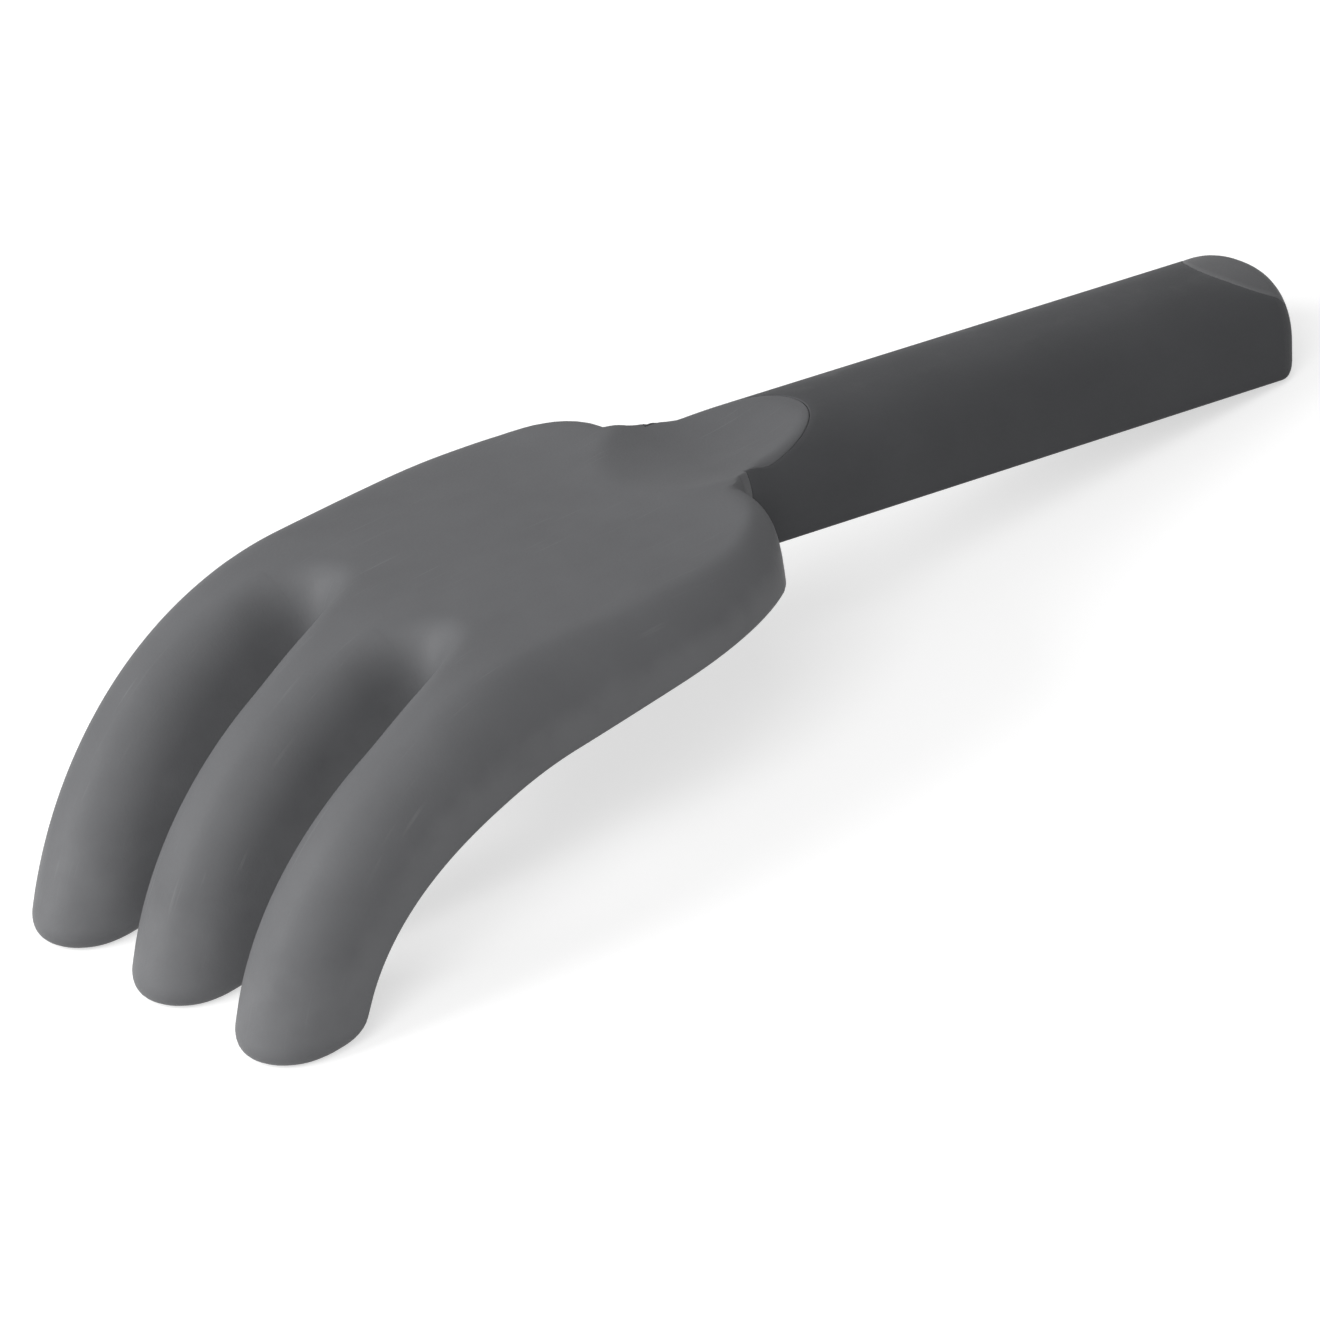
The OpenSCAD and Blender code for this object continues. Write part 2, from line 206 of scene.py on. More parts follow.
# %% Laying the pieces down
lean = Matrix.Rotation(handle_tilt, 3, "Y")
middle_x = rear_x - cad_box[1][0]


def laid(point):
    return lean @ point - Vector((middle_x, 0, floor_level))


print("middle of the rake from the neck in mm", middle_x / MM)

# %% [markdown]
# ## The head's section
# The palm's top is nearly flat and rolls over to a short upright wall at every edge, the slots' edges
# as well. Towards the tips the roll takes up the whole width, so that each tine is round. Working out
# the distance to the nearest edge and rolling the skin down by that distance gives the whole top in one
# rule, with no booleans to clean up.

# %% Sizes along the head
def along_tines(s):
    return ease((s - fork_s) / (tip_s - fork_s))


def pitch(s):
    return mixed(tine_pitch, tip_pitch, along_tines(s))


def half_tine(s):
    return mixed(tine_w, tip_w, along_tines(s)) / 2


def half_slot(s):
    return pitch(s) / 2 - half_tine(s)


def palm_half(s):
    return pitch(s) + half_tine(s)


def depth(s):
    at_palm = mixed(handle_h, palm_depth, ease(s / neck_len))
    to_bend = (tine_depth - palm_depth) * ease((s - neck_len) / (mid_s - neck_len))
    to_tip = (tip_depth - tine_depth) * ease((s - mid_s) / (tip_s - mid_s))
    return at_palm + to_bend + to_tip


def edge_h(s):
    return mixed(crown_h, edge_h_share * depth(s), ease(s / neck_len))


def edge_power(s):
    return mixed(crown_power, round_power, ease(s / neck_len))


print("palm's half width in mm", round(palm_half(fork_s) / MM, 1))

# %% [markdown]
# ## The head's outline
# From above, the handle meets the palm in a small hollow corner, the palm's shoulder is a quarter of a
# full ellipse, and two slots with long rounded ends part the tines.

# %% Outline and distances to it
root_half = half_w + collar_len


def half_width(s, inset):
    if s < 0:
        reach = max(0, s + collar_len)
        return root_half - math.sqrt(collar_len ** 2 - reach ** 2) - inset
    turn = part_of_one((shoulder_len - s) / (shoulder_len - inset))
    flare = (1 - turn ** shoulder_power) ** (1 / shoulder_power)
    return root_half - inset + (palm_half(s) - root_half) * flare


def seam(s):
    return mixed(tongue_half, pitch(s) / 2, ease(s / slot_start))


def shoulder_distance(s, v):
    wide = palm_half(s) - root_half
    ahead = part_of_one(1 - s / shoulder_len)
    aside = (v - root_half) / wide
    reach = (ahead ** shoulder_power + aside ** shoulder_power) ** (1 / shoulder_power)
    if reach == 0:
        return wide
    rate = shoulder_power - 1
    return (1 - reach) * reach ** rate / math.hypot(ahead ** rate / shoulder_len, aside ** rate / wide)


def neck_distance(s, v):
    return math.hypot(max(0, s + collar_len), root_half - v) - collar_len


def slot_distance(s, v):
    ahead = max(0, fork_s - s) * slot_r / slot_end_len
    return math.hypot(ahead, v - pitch(s) / 2) - half_slot(s)


def outer_distance(s, v):
    return neck_distance(s, v) if v < root_half else shoulder_distance(s, v)


def to_tines(s):
    return ease((s - shoulder_len) / (fork_s - shoulder_len))


def rearness(s, v):
    """One where the nearest edge is the palm's rear edge, and none where it is a side."""
    ahead = part_of_one(1 - s / shoulder_len)
    aside = max(0, v - root_half) / (palm_half(s) - root_half)
    return ahead ** 2 / (ahead ** 2 + aside ** 2) if ahead else 0


def side_r(s, v):
    return mixed(mixed(palm_edge_r, half_tine(s), to_tines(s)), rear_edge_r, rearness(s, v))


def slot_side_r(s):
    return mixed(slot_edge_r, half_tine(s), ease((s - slot_start) / tine_grow))


print("half width at the neck in mm", round(half_width(0, 0) / MM, 1))

# %% [markdown]
# ## Levels of the top
# The palm lies a little lower than the handle's crest. A flat scoop for the thumb planes the handle's
# crown down to the palm's level, an oval dish sinks into the scoop, and from the dish's rim the palm
# arches gently up to the tines. On both sides of the scoop the crown swells up to the palm, which
# softens the corner at the neck.

# %% Levels and rolled edges
def rolled(distance, r, power):
    """None well inside an edge and one at the edge, along a quarter of a fuller or plainer ellipse."""
    away = part_of_one(1 - distance / r)
    return 1 - (1 - away ** power) ** (1 / power)


def soft_less(a, b, width):
    """The lesser of two drops, with a hollow fillet where they meet."""
    close = max(0, 1 - abs(a - b) / width) if width else 0
    return min(a, b) - width * close ** 2 / 4


def soft_more(a, b, width):
    return -soft_less(-a, -b, width)


def level(s, v):
    rise = scoop_sink * (s + tongue_len) / (rim_reach + tongue_len)
    arch = scoop_sink * (1 - part_of_one((s - rim_reach) / (fork_s - rim_reach))) ** 2
    sink = max(0, soft_less(rise, arch, rim_fillet))
    return sink + palm_crown * (v / palm_half(s)) ** 2 * (1 - to_tines(s))


def dish_drop(s, v):
    bowl = 1 - ((s - dish_middle) / (rim_reach - dish_middle)) ** 2 - (v / rim_half) ** 2
    return dish_depth * soft_more(bowl, 0, rim_share)


print("palm's drop at the rim in mm", round(level(rim_reach, 0) / MM, 2))

# %% Skin and lining levels
def edge_drop(s, v, distance, r):
    return mixed(level(s, v), edge_h(s), rolled(distance, r, edge_power(s)))


def handle_drop(s, v):
    return crown_h * rolled(neck_distance(s, v), half_w, crown_power)


def swell(s, v):
    """How far the handle's crown rises above its own section to meet the palm, over the web."""
    edge = edge_drop(s, v, outer_distance(s, v), side_r(s, v))
    crown = handle_drop(s, v)
    fillet = neck_fillet * (1 - ease((v - half_w) / collar_len))
    return (crown - soft_less(crown, edge, fillet)) * ease((s + web_len) / web_len)


def outer_drop(s, v):
    if v >= root_half:
        return edge_drop(s, v, outer_distance(s, v), side_r(s, v))
    return handle_drop(s, v) - swell(s, v)


def skin_drop(s, v):
    v = abs(v)
    slot = edge_drop(s, v, slot_distance(s, v), slot_side_r(s))
    return soft_more(max(outer_drop(s, v), slot), level(s, v) + dish_drop(s, v), scoop_fillet)


def lining_drop(s, v):
    v = abs(v)
    outer = shoulder_distance(s, v) if v >= root_half else s
    side = rolled(outer - wall, max(side_r(s, v) - wall, wall / 2), edge_power(s))
    slot = rolled(slot_distance(s, v) - wall, slot_side_r(s) - wall, edge_power(s))
    return min(depth(s), mixed(wall + level(s, v) + dish_drop(s, v), depth(s), max(side, slot)))


def edge_distance(s, v):
    return max(0, min(outer_distance(s, v), slot_distance(s, v)))


print("palm wall in mm", depth(palm_len) / MM, "dish in mm", skin_drop(0, 0) / MM)

# %% [markdown]
# ## A mesh from grids
# Each piece is a few grids of points whose borders meet, so they can be added one by one and welded.
# Every point also keeps its distance along the rake, its distance to the side and how much it gets
# rubbed in use: the finishes read these later, so that scratches run along the tines even where those
# bend.

# %% Spots and mouldings
Spot = namedtuple("Spot", "place along aside rub")
weld_width = 0.001 * MM
crease_angle = math.radians(40)


class Moulding:
    """Grids of spots that are welded into one smooth mesh."""

    def __init__(self):
        self.spots = []
        self.faces = []

    def face(self, spots):
        start = len(self.spots)
        self.spots.extend(spots)
        self.faces.append(tuple(range(start, len(self.spots))))

    def grid(self, rows):
        start = len(self.spots)
        wide = len(rows[0])
        for row in rows:
            self.spots.extend(row)
        for i in range(len(rows) - 1):
            for k in range(wide - 1):
                corner = start + i * wide + k
                self.faces.append((corner, corner + 1, corner + wide + 1, corner + wide))

    def made(self, name):
        mesh = bpy.data.meshes.new(name)
        mesh.from_pydata([laid(spot.place) for spot in self.spots], [], self.faces)
        mesh.attributes.new("lay", "FLOAT_VECTOR", "POINT")
        mesh.attributes.new("rub", "FLOAT", "POINT")
        lays = [number for spot in self.spots for number in (spot.along, spot.aside, 0)]
        mesh.attributes["lay"].data.foreach_set("vector", lays)
        mesh.attributes["rub"].data.foreach_set("value", [spot.rub for spot in self.spots])
        welded(mesh)
        piece = bpy.data.objects.new(name, mesh)
        bpy.context.scene.collection.objects.link(piece)
        print(name, len(mesh.vertices), "points", len(mesh.polygons), "faces")
        return piece


def welded(mesh):
    work = bmesh.new()
    work.from_mesh(mesh)
    bmesh.ops.remove_doubles(work, verts=work.verts, dist=weld_width)
    bmesh.ops.dissolve_degenerate(work, edges=work.edges, dist=weld_width)
    bmesh.ops.recalc_face_normals(work, faces=work.faces)
    work.to_mesh(mesh)
    work.free()
    mesh.shade_smooth()
    mesh.set_sharp_from_angle(angle=crease_angle)

# %% [markdown]
# ## Rows of the head
# The head is drawn as three strips side by side, one for each tine, in rows from the neck to the tips.
# Rows lie closer where the shape turns quickly: at the shoulders, the slot ends and the rounded tips.

# %% Rows
Row = namedtuple("Row", "s kind way")
strip_steps = 30
collar_rows = 6
shoulder_rows = 26
palm_rows = 8
slot_edge_rows = 14
slot_end_rows = 10
tine_rows = 34
tip_rows = 9


def shares(count, first=0):
    return [i / count for i in range(first, count + 1)]


slot_rim = tine_w / 2
rows = (
    [Row(collar_len * (math.sin(quarter * t) - 1), "sheet", 0) for t in shares(collar_rows)]
    + [Row(shoulder_len * (1 - math.cos(quarter * t)), "sheet", 0) for t in shares(shoulder_rows, 1)]
    + [Row(mixed(shoulder_len, slot_start - slot_rim, t), "sheet", 0) for t in shares(palm_rows, 1)]
    + [Row(slot_start - slot_rim * (1 - math.sin(quarter * t)), "sheet", 0)
       for t in shares(slot_edge_rows, 1)]
    + [Row(slot_start + slot_end_len * (1 - math.cos(quarter * t)), "sheet", 0)
       for t in shares(slot_end_rows, 1)]
    + [Row(mixed(fork_s, tip_s, t), "tine", t) for t in shares(tine_rows, 1)]
    + [Row(tip_s, "foot", tip_edge_r * (1 - math.sin(quarter * t))) for t in shares(tip_rows)]
)
apex_row = collar_rows + shoulder_rows + palm_rows + slot_edge_rows
print("rows", len(rows), "slot starts at row", apex_row)

# %% Places in a row
def foot_cut(row):
    if row.kind != "foot":
        return 0
    return tip_edge_r - math.sqrt(tip_edge_r ** 2 - (tip_edge_r - row.way) ** 2)


def row_place(row, s, v, down):
    if row.kind == "sheet":
        return below_crest(s, v, down)
    if row.kind == "foot":
        return round_the_bend(angle_at_height(down, row.way), v, down)
    angle = mixed(crest_slope(fork_s), angle_at_height(down, foot_h), row.way)
    return round_the_bend(angle, v, down)


def is_hollow(row):
    return row.kind != "foot" and row.s > back_wall


def slot_shift(number, inset):
    s = rows[number].s
    if number < apex_row:
        return inset * part_of_one(1 - (slot_start - s) / slot_rim)
    return inset * max(0, fork_s - s) / slot_end_len


def strip_edges(number, strip, inset):
    row = rows[number]
    cut = foot_cut(row)
    middle = seam(row.s)
    gap = cut
    if number >= apex_row:
        slot_s = row.s - slot_shift(number, inset)
        middle = pitch(row.s) / 2
        ahead = part_of_one((fork_s - slot_s) / (slot_end_len + inset))
        gap += (half_slot(slot_s) + inset) * math.sqrt(1 - ahead ** 2)
    far = half_width(row.s, inset) - cut
    return [(-far, -middle - gap), (gap - middle, middle - gap), (middle + gap, far)][strip]


def across(edges, t):
    return (edges[0] + edges[1]) / 2 - (edges[1] - edges[0]) / 2 * math.cos(math.pi * t)


print("rows over the hollow", sum(is_hollow(row) for row in rows))

# %% [markdown]
# ## Skin and lining
# The skin is the side that is seen, and the lining is the hollow underneath, where the moulding keeps
# an even wall. Use rubs the tips and the edges most, so the rub grows towards them.

# %% Skin
tip_rub_start_share = 0.55
tip_rub_share = 0.8
edge_rub_width = 1.6 * MM


def rubbed(row, distance):
    before_tip = ease((row.way - tip_rub_start_share) / (1 - tip_rub_start_share))
    near_tip = 1 if row.kind == "foot" else before_tip
    near_edge = 1 - part_of_one(distance / edge_rub_width)
    return max(tip_rub_share * near_tip, near_edge)


def skin_spot(number, strip, t):
    row = rows[number]
    v = across(strip_edges(number, strip, 0), t)
    cut = foot_cut(row)
    down = skin_drop(row.s, v)
    if row.kind == "foot":
        down = cut + (edge_h(row.s) - 2 * cut) * (1 - math.sin(math.pi * t))
    return Spot(row_place(row, row.s, v, down), row.s, v, rubbed(row, edge_distance(row.s, abs(v))))

# %% Lining
underside_share = 0.7


def lining_side(number, strip, t):
    edges = strip_edges(number, strip, 0)
    if rows[number].kind == "foot":
        return across((edges[0] + wall, edges[1] - wall), t)
    if strip == 1:
        return across(edges, t)
    if strip == 2:
        return across((edges[0], mixed(edges[0], edges[1], underside_share)), t)
    return across((mixed(edges[1], edges[0], underside_share), edges[1]), t)


def lining_spot(number, strip, t):
    row = rows[number]
    if not is_hollow(row):
        v = lining_side(number, strip, t)
        return Spot(row_place(row, row.s, v, depth(row.s) - foot_cut(row)), row.s, v, 0)
    by_slot = [t, abs(2 * t - 1), 1 - t][strip]
    s = row.s - slot_shift(number, wall) * by_slot
    v = across(strip_edges(number, strip, wall), t)
    on_rim = (t == 0 and edge_is_free(number, strip, 0)) or (t == 1 and edge_is_free(number, strip, 1))
    down = depth(s) if on_rim else lining_drop(s, v)
    return Spot(row_place(row, s, v, down), s, v, 0)


def edge_is_free(number, strip, side):
    return number >= apex_row or (strip, side) in ((0, 0), (2, 1))


print("wall under the palm in mm", round((lining_drop(shoulder_len, 0) - skin_drop(shoulder_len, 0)) / MM, 2))

# %% [markdown]
# ## The rim
# A moulding has no knife edges: the lower edge of each wall is rounded by the mould. A ribbon with two
# small rounded corners joins the skin to the lining along every free edge. A bevel modifier could do
# this too, but a ribbon keeps a firm hold of the narrow faces at the slot ends.

# %% Rim ribbon
rim_r = 0.7 * MM
half_way_share = 0.5
corner_steps = 4


def rounded_corner(before, corner, after, r):
    """Spots along a small curve that takes off a corner."""
    start = toward(corner, before, r)
    end = toward(corner, after, r)
    spots = []
    for t in shares(corner_steps):
        place = mixed(mixed(start.place, corner.place, t), mixed(corner.place, end.place, t), t)
        spots.append(corner._replace(place=place))
    return spots


def toward(spot, other, r):
    length = (other.place - spot.place).length
    share = min(half_way_share, r / length) if length else 0
    return spot._replace(place=spot.place.lerp(other.place, share))


def rim_ribbon(number, strip, side, skin, lining):
    row = rows[number]
    v = strip_edges(number, strip, 0)[side]
    place = row_place(row, row.s, v, depth(row.s) - foot_cut(row))
    rim = Spot(place, row.s, v, 1)
    top = skin[0] if side == 0 else skin[-1]
    inner = lining[0] if side == 0 else lining[-1]
    next_in = lining[1] if side == 0 else lining[-2]
    ribbon = [top] + rounded_corner(top, rim, inner, rim_r)
    inner_r = rim_r if is_hollow(row) and number != apex_row else 0
    ribbon += rounded_corner(rim, inner._replace(rub=1), next_in, inner_r)
    return ribbon

# %% [markdown]
# ## Joining the head
# Each strip adds its skin, its lining, its ribbons and the flat foot under the tip. Where two strips
# share an edge the weld closes it.

# %% Head strips
def add_sole(moulding, skin, lining, ribbons):
    """The flat sole under a tip: one face inside the skin, the two ribbons and the lining."""
    back = lining[::-1]
    moulding.face(skin + ribbons[1][1:] + back[1:] + ribbons[0][::-1][1:-1])


def add_strip(moulding, strip):
    skins = []
    linings = []
    ribbons = [[], []]
    for number in range(len(rows)):
        skin = [skin_spot(number, strip, t) for t in shares(strip_steps)]
        lining = [lining_spot(number, strip, t) for t in shares(strip_steps)]
        for side in (0, 1):
            if edge_is_free(number, strip, side):
                ribbon = rim_ribbon(number, strip, side, skin, lining)
                ribbons[side].append(ribbon)
                lining[-side] = ribbon[-1]
        skins.append(skin)
        linings.append(lining)
    for sheet in (skins, linings, ribbons[0], ribbons[1]):
        moulding.grid(sheet)
    add_sole(moulding, skins[-1], linings[-1], [ribbons[0][-1], ribbons[1][-1]])
    return skins[0]

# %% [markdown]
# ## Tongue and collar
# Behind the thumb dish a rounded tongue of the head reaches back over the grip, and the sleeve is cut
# round it. Its top is the thumb scoop, and a fine rounded edge drops into the seam.

# %% Tongue
seam_edge_r = 0.25 * MM
seam_depth = 2 * MM
tongue_rows = 24
tongue_steps = 24


def seam_steps():
    """Pairs of how far an edge stands back from its seam and how deep it lies, over the rounding and down."""
    turns = [quarter * t for t in shares(corner_steps)]
    rounding = [(seam_edge_r * (1 - math.sin(turn)), seam_edge_r * (1 - math.cos(turn))) for turn in turns]
    return rounding + [(0, seam_depth)]


def tongue_spot(turn, side, back, sunk):
    s = -sleeve_start - (tongue_span - back) * math.cos(turn)
    v = (tongue_half - back) * math.sin(turn) * side
    return Spot(below_crest(s, v, skin_drop(s, v) + sunk), s, v, 1 - part_of_one(back / seam_edge_r))


def add_tongue(moulding):
    turns = [quarter * t for t in shares(tongue_rows)]
    sides = [2 * t - 1 for t in shares(tongue_steps)]
    top = [[tongue_spot(turn, side, seam_edge_r, 0) for side in sides] for turn in turns]
    s = -collar_len
    root = [tongue_half * side for side in sides]
    top.append([Spot(below_crest(s, v, skin_drop(s, v)), s, v, 0) for v in root])
    moulding.grid(top)
    around = [-turn for turn in reversed(turns)] + turns[1:]
    moulding.grid([[tongue_spot(turn, 1, back, sunk) for turn in around] for back, sunk in seam_steps()])


def add_collar_face(moulding, collar):
    inner_share = 1 - sleeve_wall / half_w
    inner = []
    for spot in collar:
        x, y, z = spot.place
        place = Vector((x, y * inner_share, z * inner_share - sleeve_wall))
        inner.append(spot._replace(place=place, rub=0))
    moulding.grid([collar, inner])


print("tongue in mm", tongue_len / MM, "by", 2 * tongue_half / MM)

# %% The whole head
def rake_head():
    head = Moulding()
    firsts = [add_strip(head, strip) for strip in range(3)]
    add_tongue(head)
    add_collar_face(head, firsts[0])
    add_collar_face(head, firsts[2])
    return head.made("head_moulding")


head = rake_head()

# %% [markdown]
# ## The grip sleeve
# The sleeve is a soft tube with the handle's D section. Its ends follow the tongue in front and the
# plug behind, so its rows run from one curved edge to the other: that keeps the seams crisp without
# cutting any holes.

# %% Section of the grip
lower_r = 1.2 * MM
notch_steps = 48
side_crown_steps = 8
side_steps = 4
bottom_steps = 12


def crown_drop(v, inset):
    half = half_w - inset
    full = part_of_one(abs(v) / half)
    return inset + (crown_h - inset) * (1 - (1 - full ** crown_power) ** (1 / crown_power))


def notch_half(way):
    """Half the width of the notch in the crown, from the tongue's at the front to the plug's at the end."""
    return mixed(tongue_half, plug_half, way) + seam_gap


def side_of(inset, way):
    """Half the section from the notch's edge to the middle of the underside, as pairs of v and z."""
    half = half_w - inset
    bottom = handle_h - inset
    edge_turn = math.acos(((notch_half(way) + seam_edge_r) / half_w) ** (crown_power / 2))
    points = []
    for t in shares(side_crown_steps, 1):
        v = half * math.cos(edge_turn * (1 - t)) ** (2 / crown_power)
        points.append((v, -crown_drop(v, inset)))
    for t in shares(side_steps, 1):
        points.append((half, -mixed(crown_h, bottom - lower_r, t)))
    for t in shares(corner_steps, 1):
        turn = quarter * t
        points.append((half - lower_r * (1 - math.cos(turn)), -bottom + lower_r * (1 - math.sin(turn))))
    for t in shares(bottom_steps, 1):
        points.append(((half - lower_r) * (1 - t), -bottom))
    return points


print("points in the side of the section", len(side_of(0, 0)))

# %% End of the grip
def end_x(v):
    return handle_len - end_bow * (v / half_w) ** 2


def end_turn_at(x, v):
    """How far round the end's rounded edge a place is, from none to a quarter turn."""
    return math.asin(part_of_one((x - end_x(v)) / end_edge_r + 1))


def end_inset(turn):
    return end_edge_r * (1 - math.cos(turn))


def round_the_end(v, turn):
    return end_x(v) - end_edge_r * (1 - math.sin(turn))


print("bow of the handle's end in mm", round((end_x(0) - end_x(half_w)) / MM, 2))

# %% [markdown]
# ## Columns of the sleeve
# A column is one line along the sleeve. In the middle of the crown it runs from the tongue's seam to
# the plug's seam, and elsewhere from the collar to the rounded end. Near the neck it rises with the
# head's own skin.

# %% Columns of the sleeve
sleeve_rows = 60
end_rows = 8
lip_turn = math.acos(1 - sleeve_wall / end_edge_r)


def sleeve_spot(x, v, z, away):
    return Spot(Vector((x, v, z)), x, v, 1 - part_of_one(away / edge_rub_width))


def swollen_spot(x, v, z, away, share=1):
    """A spot that rises with the web near the neck."""
    aside = min(abs(v), half_w)
    rise = max(0, handle_drop(-x, aside) - skin_drop(-x, aside))
    return sleeve_spot(x, v, z + share * rise, away)


def swell_share(index):
    """All of the swelling on the crown, and less and less of it down the side."""
    return part_of_one(1 - (index + 1 - side_crown_steps) / side_steps)


def notch_column(turn):
    spots = []
    for back, sunk in reversed(seam_steps()):
        v = (notch_half(0) + back) * math.sin(turn)
        x = sleeve_start + (tongue_span + seam_gap + back) * math.cos(turn)
        spots.append(swollen_spot(x, v, -crown_drop(v, 0) - sunk, 0))
    start = spots[-1].place.x
    last_v = (notch_half(1) + seam_edge_r) * math.sin(turn)
    rear = handle_len - (plug_reach + seam_gap + seam_edge_r) * math.cos(turn)
    flat_end = min(rear, end_x(last_v) - end_edge_r)
    for t in shares(sleeve_rows, 1):
        x = mixed(start, flat_end, t)
        v = (notch_half(t) + seam_edge_r) * math.sin(turn)
        spots.append(swollen_spot(x, v, -crown_drop(v, 0), min(x - start, rear - x)))
    last_turn = end_turn_at(rear, last_v)
    for t in shares(end_rows, 1):
        x = min(rear, round_the_end(last_v, last_turn * t))
        spots.append(sleeve_spot(x, last_v, -crown_drop(last_v, end_inset(last_turn * t)), 0))
    for back, sunk in seam_steps()[1:]:
        v = (notch_half(1) + back) * math.sin(turn)
        x = min(handle_len - (plug_reach + seam_gap + back) * math.cos(turn), end_x(v))
        inset = end_inset(end_turn_at(x, v))
        spots.append(sleeve_spot(x, v, -crown_drop(v, inset) - sunk, 0))
    return spots


def plain_column(index, side):
    spots = []
    for back, sunk in reversed(seam_steps()):
        v, z = side_of(sunk, 0)[index]
        spots.append(swollen_spot(sleeve_start + back, v * side, z, 0, swell_share(index)))
    flat_end = end_x(side_of(0, 1)[index][0]) - end_edge_r
    start = spots[-1].place.x
    for t in shares(sleeve_rows, 1):
        v, z = side_of(0, t)[index]
        x = mixed(start, flat_end, t)
        spots.append(swollen_spot(x, v * side, z, x - start, swell_share(index)))
    for t in shares(end_rows, 1):
        v, z = side_of(end_inset(lip_turn * t), 1)[index]
        spots.append(sleeve_spot(round_the_end(v, lip_turn * t), v * side, z, 0))
    for back, sunk in seam_steps()[1:]:
        v, z = side_of(sleeve_wall, 1)[index]
        spots.append(sleeve_spot(round_the_end(v, lip_turn) - sunk, v * side, z, 0))
    return spots

# %% The whole sleeve
def grip_sleeve():
    sleeve = Moulding()
    side_count = len(side_of(0, 0))
    left = [plain_column(index, -1) for index in reversed(range(side_count))]
    top = [notch_column(quarter * (2 * t - 1)) for t in shares(notch_steps)]
    right = [plain_column(index, 1) for index in range(side_count)]
    sleeve.grid(left + top + right)
    return sleeve.made("grip_sleeve_skin")


sleeve = grip_sleeve()

# %% [markdown]
# ## The end plug
# The plug shows as a rounded tongue on top of the handle that rolls over the end and fills the end's
# face. Its pale tone there is partly a painted highlight, the light on the top of the handle's rounded
# end. It is drawn in columns too: from the tongue's edge, over the rounded edge and down the face.

# %% Plug columns
plug_rows = 14
face_rows = 14
plug_foot = handle_h - sleeve_wall - seam_gap
face_half = half_w - sleeve_wall - seam_gap


def plug_column(turn):
    spots = []
    for back, sunk in reversed(seam_steps()):
        v = (plug_half - back) * math.sin(turn)
        x = min(handle_len - (plug_reach - back) * math.cos(turn), end_x(v))
        inset = end_inset(end_turn_at(x, v))
        spots.append(sleeve_spot(x, v, -crown_drop(v, inset) - sunk, 0))
    v = (plug_half - seam_edge_r) * math.sin(turn)
    front = handle_len - (plug_reach - seam_edge_r) * math.cos(turn)
    first_turn = end_turn_at(front, v)
    flat_end = end_x(v) - end_edge_r
    for t in shares(plug_rows, 1):
        x = mixed(front, flat_end, t) if front < flat_end else round_the_end(v, first_turn)
        spots.append(sleeve_spot(x, v, -crown_drop(v, end_inset(first_turn)), x - front))
    for t in shares(end_rows, 1):
        at = mixed(first_turn, quarter, t)
        spots.append(sleeve_spot(round_the_end(v, at), v, -crown_drop(v, end_inset(at)), edge_rub_width / 2))
    top_z = spots[-1].place.z
    for t in shares(face_rows, 1):
        wide = mixed(v, face_half * math.sin(turn), t)
        spots.append(sleeve_spot(end_x(wide), wide, mixed(top_z, -plug_foot, t), edge_rub_width))
    last = spots[-1].place
    spots.append(sleeve_spot(last.x - seam_depth, last.y, last.z, 0))
    return spots


def end_plug():
    plug = Moulding()
    plug.grid([plug_column(quarter * (2 * t - 1)) for t in shares(notch_steps)])
    return plug.made("end_plug_skin")


plug = end_plug()

# %% [markdown]
# ## Writing materials as sums
# A finish is a sum of patterns. This small class wraps a socket so that a pattern can be added, taken
# away and multiplied like a number, and each such step becomes a Math node.

# %% Sockets in sums
class Wire:
    """An output socket that can stand in a sum, or a bare tree to start from."""

    def __init__(self, tree, socket=None):
        self.tree = tree
        self.socket = socket

    def node(self, kind, settings, sockets, output=0):
        """Adds a node: its settings are set first, then the values or links of its sockets."""
        made = self.tree.nodes.new(kind)
        for name, value in settings.items():
            setattr(made, name, value)
        for key, value in sockets.items():
            if isinstance(value, Wire):
                self.tree.links.new(value.socket, made.inputs[key])
            else:
                made.inputs[key].default_value = value
        return Wire(self.tree, made.outputs[output] if made.outputs else None)

    def maths(self, operation, first, second):
        return self.node("ShaderNodeMath", {"operation": operation}, {0: first, 1: second})

    def __add__(self, other):
        return self.maths("ADD", self, other)

    def __radd__(self, other):
        return self.maths("ADD", other, self)

    def __sub__(self, other):
        return self.maths("SUBTRACT", self, other)

    def __rsub__(self, other):
        return self.maths("SUBTRACT", other, self)

    def __mul__(self, other):
        return self.maths("MULTIPLY", self, other)

    def __rmul__(self, other):
        return self.maths("MULTIPLY", other, self)

# %% Patterns
plain_roughness = 0.5
mix_share = 0
mix_first = 6
mix_second = 7
mix_result = 2
green_share = 0.25


def noise(vector, scale, detail, roughness=plain_roughness):
    sockets = {"Vector": vector, "Scale": scale, "Detail": detail, "Roughness": roughness}
    return vector.node("ShaderNodeTexNoise", {}, sockets)


def stretched(vector, along, aside):
    return vector.node("ShaderNodeVectorMath", {"operation": "MULTIPLY"}, {0: vector, 1: (along, aside, 1)})


def rising(wire, low, high):
    """Nothing below the low value, all of it above the high one, and a soft step between."""
    sockets = {"Value": wire, "From Min": low, "From Max": high}
    return wire.node("ShaderNodeMapRange", {"interpolation_type": "SMOOTHSTEP"}, sockets)


def tinted(share, first, second):
    """The first colour with a share of the second mixed in."""
    sockets = {mix_share: share, mix_first: first, mix_second: second}
    return share.node("ShaderNodeMix", {"data_type": "RGBA"}, sockets, mix_result)


def grey(level, blue=0.0):
    """A grey with some more blue in it, and a quarter as much more green."""
    return (level, level * (1 + green_share * blue), level * (1 + blue), 1)

